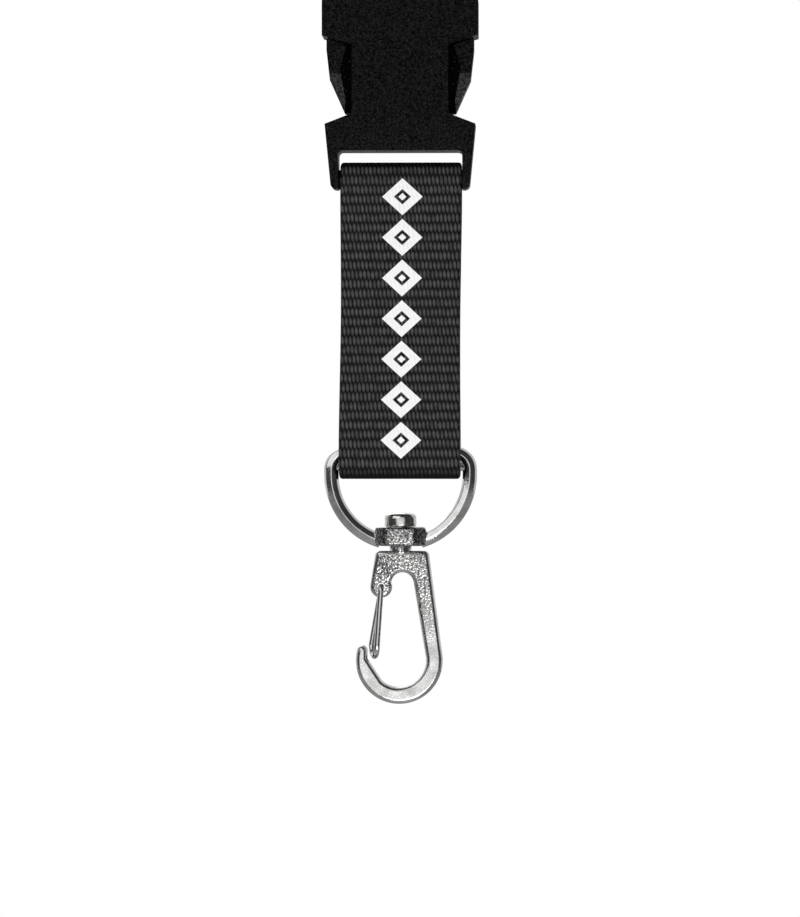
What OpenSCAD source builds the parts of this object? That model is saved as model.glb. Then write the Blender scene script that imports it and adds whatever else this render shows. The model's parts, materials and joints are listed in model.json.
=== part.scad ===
// Lower end of a lanyard: side-release buckle, doubled webbing strap, D-ring and swivel snap hook.
// It hangs by the bar of the upper buckle half. Front faces -Y, millimetres, +Z up.

/* [Webbing] */
// Width of the webbing
web_w = 19.8; // [12:0.1:30]
// Thickness of one layer of webbing
web_t = 1.2; // [0.8:0.05:1.6]
// Distance from the buckle bar down to the D-ring bar
strap_drop = 45.45; // [30:0.05:90]
// Length of the overlap where the two ends of the webbing are sewn together
seam_len = 16; // [10:0.5:24]
// Room each side of the webbing in a buckle slot or inside the D-ring
web_side_gap = 0.2; // [0.15:0.05:0.6]
// Room between a bar and the webbing that is folded round it
web_bar_gap = 0.15; // [0.1:0.05:0.4]

/* [Sewing] */
// Length of one visible stitch
stitch_len = 1.9; // [1:0.1:3]
// Gap between two stitches
stitch_gap = 0.6; // [0.3:0.1:1.5]
// Thickness of the sewing thread
thread_d = 0.35; // [0.2:0.05:0.6]
// Distance from the box of stitches to the edge of the overlap
stitch_edge = 2; // [1.5:0.1:4]

/* [Buckle slots] */
// Radius of the bar that the webbing is folded round, the same on both halves
bar_r = 1.6; // [1.2:0.05:2.4]
// Height of the slot above the bar
slot_h = 3; // [2.4:0.1:5]
// Thickness of a leg beside the top of a slot
leg_top_t = 2.15; // [1.6:0.05:4]
// Thickness of a leg beside the bar
leg_foot_t = 1.25; // [0.8:0.05:2]
// Front-to-back depth of a buckle half at its bar
foot_depth = 6.4; // [5:0.1:9]

/* [Buckle socket] */
// Front-to-back depth of the socket at its mouth
socket_depth = 9; // [8:0.1:14]
// Thickness of the front and back plates
plate_t = 1.6; // [1.2:0.1:2]
// How far the rail at the mouth stands out past the webbing slot
rail_out = 2.6; // [2.2:0.05:4]
// Thickness of the side walls of the rail
rail_wall = 1.4; // [1:0.05:1.8]
// Height of the rail at its outer ends
rail_h = 5.8; // [5:0.1:9]
// How much lower the rail reaches at the waist
rail_slope = 1.5; // [0:0.1:2]
// How far the waist is set in from the webbing slot
waist_in = 2.25; // [1.5:0.05:3]
// Height of the waist, where the latch arms show
waist_h = 11.2; // [10:0.1:18]
// Height of the sloping flare under the waist
flare_h = 1.7; // [1:0.1:3]
// Height from the flare down to the slot
block_h = 4.3; // [3:0.1:8]

/* [Buckle plug] */
// Height of the flange that stays outside the socket
flange_h = 4.6; // [3:0.1:8]
// Front-to-back depth of the flange
flange_depth = 8.2; // [6.6:0.1:12]
// How far the flange is set in from the ends of the rail
flange_in = 1.45; // [1:0.05:3]
// Depth of the block that fills the mouth of the socket
insert_h = 3.6; // [3.2:0.1:5]
// Width of the guide tongue
tongue_w = 5; // [3:0.1:7]
// Room between the plug and the inside of the socket
plug_gap = 0.2; // [0.1:0.05:0.4]

/* [Latch arms] */
// How far the shoulder of an arm stands out past the webbing slot
shoulder_out = 1.9; // [1.5:0.05:2.2]
// Thickness of the flexing beam
beam_t = 1.8; // [1.2:0.1:2.2]
// Radius of the root that the arm turns on
root_r = 1.3; // [1.1:0.05:1.6]
// Room round the root
root_gap = 0.15; // [0.1:0.05:0.3]
// Depth of the root below the mouth
root_drop = 2; // [1.8:0.1:3]
// How much further the grip stands forward than the web beside it
grip_step = 0.8; // [0.4:0.1:1.4]
// Width of an arm at its free end
arm_end_w = 1.9; // [1.4:0.1:3]

/* [D-ring] */
// Thickness of the ring's rod
rod_d = 2.4; // [1.8:0.1:3]
// Height of the ring's flat bar
ring_bar_h = 4.1; // [3.6:0.1:6]
// Distance from the flat bar's middle down to the centre of the round part
ring_drop = 2.6; // [2.1:0.1:8]
// Width of the collar
collar_w = 8.3; // [6:0.1:10]
// Front-to-back depth of the collar
collar_depth = 7; // [5:0.1:9]
// Width of the slanting faces at the collar's corners, seen from the front
collar_cut = 1.8; // [1:0.1:2.5]
// Height of the collar
collar_h = 3.1; // [2.4:0.1:5]
// Height of the collar's middle over the middle of the rod
collar_rise = 1.2; // [0:0.1:1.5]

/* [Swivel rivet] */
// Radius of the rivet's shank
shank_r = 1.2; // [0.9:0.05:1.3]
// Radius of the rivet's head
head_r = 2.6; // [2:0.05:3]
// Height of the rivet's head
head_h = 2.3; // [1.2:0.1:3]
// Rounding of the rivet's head
head_round = 0.7; // [0.3:0.1:1]
// How deep the shank is set in the hook
shank_set = 2.5; // [1.5:0.1:2.8]
// Room between the shank and the collar's bore
swivel_gap = 0.08; // [0.05:0.01:0.1]

/* [Snap hook] */
// Front-to-back depth of the hook casting
hook_depth = 3.4; // [3:0.1:5]
// Distance from the hook's top down to the centre of its bow
bow_drop = 17.85; // [14:0.05:30]
// Outer radius of the bow
bow_r = 7.1; // [6:0.05:9]
// Width of the bow's section
bow_t = 2.75; // [2:0.05:3]
// Height of the boss that carries the collar
boss_h = 0.75; // [0.4:0.05:2]
// Radius of that boss
boss_r = 1.8; // [1.6:0.05:2.4]
// Radius of the ear that holds the gate
ear_r = 1.8; // [1.6:0.05:2.4]
// Depth of the ear, less than the casting's, so that the gate wire lies beside it
ear_depth = 2.2; // [1.6:0.1:2.4]

/* [Gate] */
// Thickness of the gate wire
wire_d = 0.95; // [0.7:0.05:1.2]
// Room between the gate wire and the ear
wire_gap = 0.2; // [0.15:0.05:0.4]
// How far the back leg leans outwards from the front leg at the loop
leg_lean = 1; // [0:0.1:1.2]

/* [Hidden] */
$fn = 64;
eps = 0.01;
past = 30;

// Small clearances between pieces that touch or nearly touch
seat_gap = 0.2;
latch_gap = 0.2;
collar_play = 0.05;
press_gap = 0.02;

// Widths that follow the webbing
slot_w = web_w + 2 * web_side_gap;
slot_x = slot_w / 2;
rail_x = slot_x + rail_out;
waist_x = slot_x - waist_in;
block_x = slot_x + leg_top_t;
foot_x = slot_x + leg_foot_t;
mouth_x = rail_x - rail_wall;
flange_x = rail_x - flange_in;
shoulder_x = slot_x + shoulder_out;
slot_corner_r = 0.7;
foot_corner_r = 0.9;

// Levels, down from the middle of the plug's bar
mouth_z = -(bar_r + slot_h + flange_h + seat_gap);
rail_z = mouth_z - rail_h;
waist_top_z = rail_z - rail_slope;
waist_end_z = waist_top_z - waist_h;
block_z = waist_end_z - flare_h;
slot_z = block_z - block_h;
bar_z = slot_z - slot_h - bar_r;
foot_z = bar_z - bar_r;
loop_z = bar_z - strap_drop;

// Inside of the socket
cavity_y = socket_depth / 2 - plate_t;
cavity_floor_z = waist_end_z - 0.9;
rib_x = tongue_w / 2 + 0.4;
rib_w = 0.6;
rib_h = 0.5;

// Plug inside the socket
insert_x = mouth_x - plug_gap;
insert_y = cavity_y - plug_gap;
tongue_y = cavity_y - rib_h - plug_gap;
tongue_end_z = waist_end_z + 0.7;
tongue_tip = 1;

// Latch arms
root_x = insert_x - root_r - root_gap - 0.35;
root_z = mouth_z - root_drop;
squeeze = 10;
arm_y = cavity_y - plug_gap;
web_y = arm_y - grip_step;
arm_end_x = slot_x - 1.05;
kink_x = slot_x + 1.35;
kink_z = waist_top_z - 5.7;
arm_top_in_x = waist_x - 0.9;

// Webbing loops
top_loop_r = bar_r + web_bar_gap;
low_loop_r = ring_bar_h / 2 + web_bar_gap + 0.05;
top_out_r = top_loop_r + web_t;
low_out_r = low_loop_r + web_t;
layer_lean = asin((low_out_r - top_out_r) / strap_drop);
seam_mid = strap_drop / 2;

// D-ring, hung on its flat bar
ring_in_r = web_w / 2 + web_side_gap;
rod_r = rod_d / 2;
ring_r = ring_in_r + rod_r;
ring_z = loop_z - ring_drop;
corner_out_r = 3.85;
corner_r = corner_out_r - rod_r;
corner_x = ring_r - corner_r;
corner_z = loop_z + ring_bar_h / 2 - corner_out_r;
collar_z = ring_z - ring_r + collar_rise;
collar_foot_z = collar_z - collar_h / 2;
bore_r = shank_r + swivel_gap;
rod_end = asin((collar_w / 2 - 0.9) / ring_r);

// Snap hook, measured down from its top
hook_z = collar_foot_z - collar_play - boss_h;
top_corner_r = 0.6;
top_left_x = -4.15;
top_right_x = 4.7;
arch_r = 1.8;
arch = [0.3, -5.3];
bow = [-0.2, -bow_drop];
bow_in_r = bow_r - bow_t;
ear = [-3.15, -5.85];
ear_hole_r = wire_d / 2 + 0.18;
nose_r = 0.85;
nose_angle = 165;
nose = bow + (bow_r - nose_r) * [cos(nose_angle), sin(nose_angle)];
nose_cut_angle = 229;
nose_cut_end = bow + bow_in_r * [cos(nose_cut_angle), sin(nose_cut_angle)];

// Gate wire
wire_r = wire_d / 2;
leg_y = ear_depth / 2 + wire_gap + wire_r;
wire_rest_gap = 0.12;
loop_half_x = leg_lean / 2;
loop_x = nose[0] + nose_r + wire_rest_gap + wire_r + loop_half_x;
loop_r = norm([loop_half_x, leg_y]);
leg_end_z = nose[1] + 0.9;
wire_set = ear_depth / 2 - 0.25;

// A flat outline in X and Z, made into a slab of depth d about the middle plane
module slab(d) {
    rotate([90, 0, 0])
        linear_extrude(d, center = true)
            children();
}

// An outline in Y and Z, made into a bar of width w about the middle plane
module beam(w) {
    rotate([90, 0, 90])
        linear_extrude(w, center = true)
            children();
}

// A round bar along X
module cross_bar(r, w, z) {
    translate([0, 0, z])
        rotate([0, 90, 0])
            cylinder(r = r, h = w, center = true);
}

// A straight round rod between two points
module rod(a, b, r) {
    d = b - a;
    translate(a)
        rotate([0, acos(d[2] / norm(d)), atan2(d[1], d[0])])
            cylinder(r = r, h = norm(d));
}

// A part of a round ring of rod radius r, standing in the X-Z plane
module ring_piece(centre, big_r, r, from, sweep) {
    translate([centre[0], 0, centre[1]])
        rotate([90, -from, 0])
            mirror([0, 1, 0])
                rotate([180, 0, 0])
                    rotate_extrude(angle = sweep)
                        translate([big_r, 0])
                            circle(r);
}

// Outline round two circles and the straight lines that touch both
module belt(a, ra, b, rb) {
    way = atan2(b[1] - a[1], b[0] - a[0]);
    turn = acos((ra - rb) / norm(b - a));
    translate(a) circle(ra);
    translate(b) circle(rb);
    polygon([for (p = [[a, ra, -1], [b, rb, -1], [b, rb, 1], [a, ra, 1]])
        p[0] + p[1] * [cos(way + p[2] * turn), sin(way + p[2] * turn)]]);
}

// The same outline on both sides of the middle
module both_sides() {
    children();
    mirror([1, 0]) children();
}

// A webbing slot with rounded upper corners, open down to below the bar
module slot_outline(top_z, down) {
    translate([-slot_x, top_z - down])
        square([slot_w, down - slot_corner_r]);
    translate([-slot_x + slot_corner_r, top_z - slot_corner_r - eps])
        square([slot_w - 2 * slot_corner_r, slot_corner_r + eps]);
    both_sides()
        translate([slot_x - slot_corner_r, top_z - slot_corner_r])
            circle(slot_corner_r);
}

module socket_outline() {
    difference() {
        union() {
            both_sides()
                polygon([[0, mouth_z], [rail_x, mouth_z], [rail_x, rail_z], [waist_x, waist_top_z],
                         [waist_x, waist_end_z], [block_x, block_z], [foot_x, foot_z + foot_corner_r],
                         [foot_x - foot_corner_r, foot_z + foot_corner_r],
                         [foot_x - foot_corner_r, foot_z], [0, foot_z]]);
            both_sides()
                translate([foot_x - foot_corner_r, foot_z + foot_corner_r])
                    circle(foot_corner_r);
        }
        slot_outline(slot_z, slot_z - foot_z + 1);
    }
}

// Full depth down to the flare, then thinner towards the bar
module socket_side_outline() {
    polygon([for (s = [-1, 1], p = s < 0
        ? [[-socket_depth / 2, mouth_z], [-socket_depth / 2, block_z], [-foot_depth / 2, foot_z]]
        : [[foot_depth / 2, foot_z], [socket_depth / 2, block_z], [socket_depth / 2, mouth_z]]) p]);
}

module buckle_socket() {
    color([0.03, 0.03, 0.03]) {
        difference() {
            intersection() {
                slab(socket_depth) socket_outline();
                beam(past * 2) socket_side_outline();
            }
            translate([-mouth_x, -cavity_y, cavity_floor_z])
                cube([2 * mouth_x, 2 * cavity_y, mouth_z - cavity_floor_z + 1]);
        }
        guide_ribs();
        cross_bar(bar_r, slot_w + leg_foot_t, bar_z);
    }
}

// Four ribs inside the plates that keep the plug's tongue in line
module guide_ribs() {
    for (side = [-1, 1], face = [-1, 1])
        translate([side * (rib_x + rib_w / 2), face * (cavity_y - rib_h / 2 + eps), cavity_floor_z - eps])
            translate([-rib_w / 2, -rib_h / 2, 0])
                cube([rib_w, rib_h, waist_h]);
}

module plug_outline() {
    top_z = bar_r;
    seat_z = mouth_z + seat_gap;
    difference() {
        union() {
            both_sides()
                polygon([[0, seat_z], [flange_x, seat_z], [foot_x, top_z - foot_corner_r],
                         [foot_x - foot_corner_r, top_z - foot_corner_r],
                         [foot_x - foot_corner_r, top_z], [0, top_z]]);
            both_sides()
                translate([foot_x - foot_corner_r, top_z - foot_corner_r])
                    circle(foot_corner_r);
        }
        mirror([0, 1])
            slot_outline(bar_r + slot_h, bar_r * 2 + slot_h + 1);
    }
}

module plug_side_outline() {
    seat_z = mouth_z + seat_gap;
    knee_z = -(bar_r + slot_h);
    polygon([[-flange_depth / 2, seat_z], [-flange_depth / 2, knee_z], [-foot_depth / 2, bar_r],
             [foot_depth / 2, bar_r], [flange_depth / 2, knee_z], [flange_depth / 2, seat_z]]);
}

// Block in the socket's mouth, with a round seat and a mouth for the root of each arm
module insert_outline() {
    seat_z = mouth_z + seat_gap;
    insert_end_z = mouth_z - insert_h;
    beam_in_x = root_x - beam_t / 2;
    swing = (insert_h - root_drop + 1) * tan(squeeze);
    difference() {
        translate([-insert_x, insert_end_z])
            square([2 * insert_x, seat_z - insert_end_z + eps]);
        both_sides() {
            translate([root_x, root_z])
                circle(root_r + root_gap);
            translate([beam_in_x - root_gap - swing, insert_end_z - 1])
                square([beam_t + 2 * root_gap + swing, root_z - insert_end_z + 1]);
        }
    }
}

module tongue_outline() {
    polygon([[-tongue_w / 2, mouth_z - insert_h + eps], [-tongue_w / 2, tongue_end_z + tongue_tip],
             [-tongue_w / 2 + tongue_tip, tongue_end_z], [tongue_w / 2 - tongue_tip, tongue_end_z],
             [tongue_w / 2, tongue_end_z + tongue_tip], [tongue_w / 2, mouth_z - insert_h + eps]]);
}

module buckle_plug() {
    color([0.03, 0.03, 0.03]) {
        intersection() {
            slab(flange_depth) plug_outline();
            beam(past * 2) plug_side_outline();
        }
        slab(2 * insert_y) insert_outline();
        slab(2 * tongue_y) tongue_outline();
        cross_bar(bar_r, slot_w + leg_foot_t, 0);
    }
}

// Height of the latch edge under the sloping rail at a place x
function latch_z(x) = rail_z - rail_slope * (rail_x - x) / (rail_x - waist_x) - latch_gap;

// The edge of the arm that a finger presses, from the shoulder down to the free end
function grip_edge() = [
    [shoulder_x, latch_z(shoulder_x)],
    [shoulder_x, latch_z(shoulder_x) - 1.9],
    [kink_x, kink_z],
    [arm_end_x, waist_end_z + 0.15]];

module arm_web_outline() {
    polygon(concat(grip_edge(), [
        [arm_end_x - arm_end_w, waist_end_z + 0.15],
        [arm_top_in_x, waist_end_z + 0.85],
        [arm_top_in_x, latch_z(waist_x)],
        [waist_x, latch_z(waist_x)]]));
}

// Raised part of the arm, with a waist of its own on the inner side
module arm_grip_outline() {
    polygon(concat(grip_edge(), [
        [arm_end_x - 0.15, waist_end_z + 2.2],
        [slot_x - 0.3, waist_top_z - 3.9],
        [slot_x - 1.4, latch_z(slot_x - 1.4)]]));
}

module arm_beam_outline() {
    translate([root_x - beam_t / 2, latch_z(root_x) - 0.6])
        square([beam_t, root_z - latch_z(root_x) + 0.6]);
    translate([root_x, root_z])
        circle(root_r);
}

module latch_arm() {
    color([0.05, 0.05, 0.05]) {
        slab(2 * web_y) arm_web_outline();
        slab(2 * arm_y) arm_grip_outline();
        slab(2 * web_y) arm_beam_outline();
    }
}

module latch_arm_right() {
    latch_arm();
}

module latch_arm_left() {
    mirror([1, 0, 0]) latch_arm();
}

// One belt of webbing folded round both bars, with its ends lapped at the back
module strap_webbing() {
    color([0.12, 0.12, 0.12]) {
        beam(web_w) difference() {
            belt([0, bar_z], top_out_r, [0, loop_z], low_out_r);
            belt([0, bar_z], top_loop_r, [0, loop_z], low_loop_r);
        }
        on_back_layer(-eps)
            translate([-web_w / 2, 0, -seam_len / 2])
                cube([web_w, web_t + eps, seam_len]);
    }
}

// Places children on the outside of the back layer, at the middle of the seam
module on_back_layer(out) {
    mid_r = top_out_r + (low_out_r - top_out_r) * seam_mid / strap_drop;
    translate([0, 0, bar_z - seam_mid])
        rotate([layer_lean, 0, 0])
            translate([0, mid_r / cos(layer_lean) + out, 0])
                children();
}

// A row of stitches along X (across) or Z (down), centred
module stitch_row(length, across) {
    pitch = stitch_len + stitch_gap;
    count = floor(length / pitch);
    for (i = [0 : count - 1]) {
        at = (i - (count - 1) / 2) * pitch;
        size = across ? [stitch_len, thread_d, thread_d] : [thread_d, thread_d, stitch_len];
        translate(across ? [at, thread_d / 2, 0] : [0, thread_d / 2, at])
            cube(size, center = true);
    }
}

module seam_stitching() {
    half_x = web_w / 2 - stitch_edge;
    half_z = seam_len / 2 - stitch_edge;
    color([0.05, 0.05, 0.05])
        on_back_layer(web_t + press_gap) {
            for (s = [-1, 1]) {
                translate([0, 0, s * half_z]) stitch_row(2 * half_x, true);
                translate([s * half_x, 0, 0]) stitch_row(2 * half_z - stitch_len, false);
            }
        }
}

// Flat bar, two rounded corners filled nearly to the bar's depth, and the round part.
// The bar and the fill are a hair thinner than the rod, so that they end inside it.
module ring_frame() {
    hair = 0.02;
    bar_in = ring_bar_h / 2 - rod_r;
    beam(2 * corner_x + 0.6) belt([0, loop_z + bar_in], rod_r - hair, [0, loop_z - bar_in], rod_r - hair);
    cross_bar(rod_r - 2 * hair, 2 * ring_r - 0.6, loop_z - bar_in);
    slab(rod_d - 5 * hair)
        translate([-ring_r + 0.4, loop_z - bar_in]) square([2 * ring_r - 0.8, corner_r * 0.6]);
    for (s = [0, 1]) mirror([s, 0, 0]) {
        ring_piece([corner_x, corner_z], corner_r, rod_r, 0, 90);
        rod([ring_r, 0, ring_z - 0.3], [ring_r, 0, corner_z + 0.3], rod_r - hair);
        ring_piece([0, ring_z], ring_r, rod_r, 270 + rod_end, 90 - rod_end);
    }
}

// Eight-sided collar, seen from above
module collar_outline() {
    x = collar_w / 2;
    y = collar_depth / 2;
    polygon([[x - collar_cut, -y], [x, -y + collar_cut], [x, y - collar_cut], [x - collar_cut, y],
             [-x + collar_cut, y], [-x, y - collar_cut], [-x, -y + collar_cut], [-x + collar_cut, -y]]);
}

module d_ring() {
    color([0.62, 0.62, 0.62])
        difference() {
            union() {
                ring_frame();
                translate([0, 0, collar_z]) linear_extrude(collar_h, center = true) collar_outline();
            }
            translate([0, 0, collar_z]) cylinder(r = bore_r, h = collar_h + 2, center = true);
        }
}

module swivel_rivet() {
    shank_len = collar_h + 2 * collar_play + boss_h + shank_set;
    color([0.7, 0.7, 0.7])
        translate([0, 0, hook_z - shank_set])
            rotate_extrude()
                union() {
                    square([shank_r, shank_len + eps]);
                    translate([0, shank_len]) square([head_r, head_h - head_round]);
                    translate([0, shank_len]) square([head_r - head_round, head_h]);
                    translate([head_r - head_round, shank_len + head_h - head_round]) circle(head_round);
                }
}

module hook_outline() {
    left_corner = [top_left_x + top_corner_r, -top_corner_r];
    right_corner = [top_right_x - top_corner_r, -top_corner_r];
    difference() {
        union() {
            belt(left_corner, top_corner_r, ear, ear_r);
            belt(right_corner, top_corner_r, bow, bow_r);
            polygon([[left_corner[0], 0], [right_corner[0], 0], [right_corner[0], arch[1]],
                     [ear[0], arch[1]], [left_corner[0], -top_corner_r]]);
            polygon([[ear[0], ear[1] + ear_r * 0.5], [ear[0] + ear_r - 0.1, ear[1]],
                     [arch[0], arch[1]], [arch[0], arch[1] + arch_r]]);
        }
        belt(arch, arch_r, bow, bow_in_r);
        translate([nose[0] - bow_r, nose[1]])
            square([bow[0] - nose[0] + bow_r, ear[1] - ear_r - nose[1] - eps]);
        polygon([nose + [nose_r, 1], nose + [nose_r, -1.3], nose_cut_end, [bow[0], nose_cut_end[1]],
                 [bow[0], nose[1] + 1]]);
    }
    translate(nose) circle(nose_r);
}

module hook_body() {
    ear_cut_r = ear_r + 0.4;
    color([0.62, 0.62, 0.62])
        translate([0, 0, hook_z])
            difference() {
                union() {
                    slab(hook_depth) hook_outline();
                    translate([0, 0, -1]) cylinder(r = boss_r, h = boss_h + 1);
                }
                for (s = [-1, 1])
                    translate([0, s * (ear_depth / 2 + past / 2), 0])
                        slab(past) translate(ear) circle(ear_cut_r);
                slab(past) translate(ear) circle(ear_hole_r);
                translate([0, 0, -shank_set - press_gap])
                    cylinder(r = shank_r + press_gap, h = past);
            }
}

// Bent wire: two ends set in the ear, a leg down each face and a loop that rests inside the nose.
// The bends are a hair thicker than the wire, so that the straight stretches end inside them.
module gate_wire() {
    bend_r = wire_r + 0.01;
    loop_turn = atan2(leg_lean, 2 * leg_y);
    color([0.7, 0.7, 0.7])
        translate([0, 0, hook_z]) {
            for (s = [-1, 1]) {
                knee = [ear[0], s * leg_y, ear[1]];
                foot = [loop_x - s * loop_half_x, s * leg_y, leg_end_z];
                rod([ear[0], s * (ear_depth / 2 - wire_set), ear[1]], knee, wire_r);
                translate(knee) sphere(bend_r);
                rod(knee, foot, wire_r);
                translate(foot) sphere(bend_r);
            }
            translate([loop_x, 0, leg_end_z])
                rotate([0, 0, loop_turn])
                    rotate([90, 180, 90])
                        rotate_extrude(angle = 180)
                            translate([loop_r, 0])
                                circle(wire_r);
        }
}

buckle_plug();
latch_arm_left();
latch_arm_right();
buckle_socket();
strap_webbing();
seam_stitching();
d_ring();
swivel_rivet();
hook_body();
gate_wire();
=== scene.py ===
# Lower end of a lanyard, hanging from the bar of its upper buckle half: side-release buckle,
# doubled webbing strap, D-ring, swivel and snap hook. Metres, +Z up, the front faces -Y.
import json
import math

import bmesh
import bpy
from mathutils import Matrix, Vector


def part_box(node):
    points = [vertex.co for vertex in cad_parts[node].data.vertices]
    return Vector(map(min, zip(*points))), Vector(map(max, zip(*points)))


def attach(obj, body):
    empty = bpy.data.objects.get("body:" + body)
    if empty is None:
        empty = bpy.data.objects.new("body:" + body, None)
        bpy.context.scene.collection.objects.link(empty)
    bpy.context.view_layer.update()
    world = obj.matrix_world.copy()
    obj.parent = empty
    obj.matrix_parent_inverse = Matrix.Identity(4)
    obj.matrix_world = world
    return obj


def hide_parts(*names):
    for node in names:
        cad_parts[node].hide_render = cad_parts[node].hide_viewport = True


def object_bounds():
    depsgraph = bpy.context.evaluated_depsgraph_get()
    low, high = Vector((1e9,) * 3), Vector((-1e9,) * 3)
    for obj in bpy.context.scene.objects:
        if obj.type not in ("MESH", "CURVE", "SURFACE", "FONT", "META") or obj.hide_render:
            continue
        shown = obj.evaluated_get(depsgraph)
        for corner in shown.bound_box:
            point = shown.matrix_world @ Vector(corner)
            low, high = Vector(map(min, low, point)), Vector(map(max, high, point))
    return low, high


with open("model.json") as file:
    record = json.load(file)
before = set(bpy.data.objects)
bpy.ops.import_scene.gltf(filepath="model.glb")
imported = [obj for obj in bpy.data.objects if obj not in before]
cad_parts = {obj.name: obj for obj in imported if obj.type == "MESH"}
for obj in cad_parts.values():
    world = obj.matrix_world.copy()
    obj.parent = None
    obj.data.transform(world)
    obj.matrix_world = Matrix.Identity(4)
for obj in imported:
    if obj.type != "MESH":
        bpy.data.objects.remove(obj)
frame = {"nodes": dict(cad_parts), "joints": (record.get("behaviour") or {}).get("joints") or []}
cad_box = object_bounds()
scene = bpy.context.scene
mm = 0.001


# Studio: a long-lens camera level with the middle of the strap, a pale floor well below the
# hook, and soft light all round that leaves a few dark places for the metal to mirror.
joint_at = {joint["name"]: Vector(joint.get("pos_m") or (0, 0, 0)) for joint in frame["joints"]}
view_height = 149.6 * mm
sensor = 36 * mm
lens = 200 * mm
camera_distance = view_height / sensor * lens
camera_turn = math.radians(1.5)
aim = Vector((-0.1 * mm, 0, joint_at["ring_swing"].z))

camera_data = bpy.data.cameras.new("studio_camera")
camera_data.sensor_fit = "VERTICAL"
camera_data.sensor_height = sensor / mm
camera_data.lens = lens / mm
camera_data.clip_start = 0.01
camera = bpy.data.objects.new("studio_camera", camera_data)
camera.location = aim + camera_distance * Vector((math.sin(camera_turn), -math.cos(camera_turn), 0))
camera.rotation_euler = (math.pi / 2, 0, camera_turn)
scene.collection.objects.link(camera)
scene.camera = camera
scene.view_settings.view_transform = "Standard"


def add_node(tree, kind, **settings):
    """Adds a shader node; a setting named like an input sets that input, any other the node itself."""
    node = tree.nodes.new(kind)
    for name, value in settings.items():
        if hasattr(node, name) and name not in node.inputs:
            setattr(node, name, value)
        else:
            node.inputs[name.replace("_", " ")].default_value = value
    return node


def link(tree, source, out, target, into):
    """Joins an output of one shader node to an input of another."""
    tree.links.new(source.outputs[out], target.inputs[into])


def colour_ramp(tree, *stops):
    """A ramp through colours, each given with its place from 0 to 1."""
    ramp = add_node(tree, "ShaderNodeValToRGB")
    elements = ramp.color_ramp.elements
    while len(elements) < len(stops):
        elements.new(1.0)
    for element, (place, colour) in zip(elements, stops):
        element.position = place
        element.color = (*colour, 1)
    return ramp


def new_material(name):
    """A new material, its node tree and its shader."""
    material = bpy.data.materials.new(name)
    material.use_nodes = True
    return material, material.node_tree, material.node_tree.nodes["Principled BSDF"]


def soft_box(name, way, distance, size, power):
    """A square area light at a distance along a direction from the strap, turned to face it."""
    data = bpy.data.lights.new(name, "AREA")
    data.size = size
    data.energy = power
    lamp = bpy.data.objects.new(name, data)
    lamp.location = aim + distance * Vector(way).normalized()
    lamp.rotation_euler = (aim - lamp.location).to_track_quat("-Z", "Y").to_euler()
    lamp.visible_camera = False
    scene.collection.objects.link(lamp)


soft_box("key_light", (-0.5, -0.7, 0.5), 0.65, 0.60, 1.5)
soft_box("low_light", (0.1, -0.9, -0.45), 0.50, 0.22, 1.2)
soft_box("back_light", (-0.3, 1.0, 0.6), 0.70, 0.40, 0.5)

# The light tent gets brighter towards the camera and again behind the object, with a dark belt
# between them, which draws the edges of the metal. The position is 0 behind and 1 at the camera.
world = bpy.data.worlds.new("light_tent")
scene.world = world
world.use_nodes = True
tent = world.node_tree
tent.nodes.clear()
way = add_node(tent, "ShaderNodeTexCoord")
split = add_node(tent, "ShaderNodeSeparateXYZ")
link(tent, way, "Generated", split, "Vector")
wall_levels = [(0.0, 0.90), (0.38, 0.72), (0.46, 0.10), (0.90, 0.05), (0.965, 0.95), (1.0, 1.15)]
walls = colour_ramp(tent, *[(place, (level, level, level)) for place, level in wall_levels])
walls.color_ramp.interpolation = "EASE"
toward = add_node(tent, "ShaderNodeMath", operation="MULTIPLY_ADD")
toward.inputs[1].default_value = -0.5
toward.inputs[2].default_value = 0.5
link(tent, split, "Y", toward, 0)
link(tent, toward, 0, walls, "Fac")
mirrored = add_node(tent, "ShaderNodeBackground", Strength=1.0)
link(tent, walls, "Color", mirrored, "Color")
seen = add_node(tent, "ShaderNodeBackground", Color=(1, 1, 1, 1), Strength=1.0)
ray = add_node(tent, "ShaderNodeLightPath")
choose = add_node(tent, "ShaderNodeMixShader")
link(tent, ray, "Is Camera Ray", choose, 0)
link(tent, mirrored, 0, choose, 1)
link(tent, seen, 0, choose, 2)
sky = add_node(tent, "ShaderNodeOutputWorld")
link(tent, choose, 0, sky, 0)

# The floor is pure white to the camera and lights the object as a pale matt board does
floor_drop = 0.45
floor_size = 2.0
floor_mesh = bpy.data.meshes.new("studio_floor")
floor_form = bmesh.new()
bmesh.ops.create_grid(floor_form, x_segments=1, y_segments=1, size=floor_size)
bmesh.ops.translate(floor_form, verts=floor_form.verts, vec=(0, 0, cad_box[0].z - floor_drop))
floor_form.to_mesh(floor_mesh)
floor_form.free()
floor = bpy.data.objects.new("studio_floor", floor_mesh)
scene.collection.objects.link(floor)
pale, pale_tree, pale_shader = new_material("pale_floor")
pale_shader.inputs["Base Color"].default_value = (0.8, 0.8, 0.8, 1)
pale_shader.inputs["Roughness"].default_value = 0.9
glow = add_node(pale_tree, "ShaderNodeEmission", Strength=1.0)
floor_ray = add_node(pale_tree, "ShaderNodeLightPath")
floor_mix = add_node(pale_tree, "ShaderNodeMixShader")
link(pale_tree, floor_ray, "Is Camera Ray", floor_mix, 0)
link(pale_tree, pale_shader, 0, floor_mix, 1)
link(pale_tree, glow, 0, floor_mix, 2)
link(pale_tree, floor_mix, 0, pale_tree.nodes["Material Output"], "Surface")
floor_mesh.materials.append(pale)


# Buckle socket: the half that the strap hangs on, one injection moulding in black acetal with
# a fine spark-eroded grain. Its edges are broken by the mould's small radii.
moulded_edge = 0.2 * mm


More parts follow.
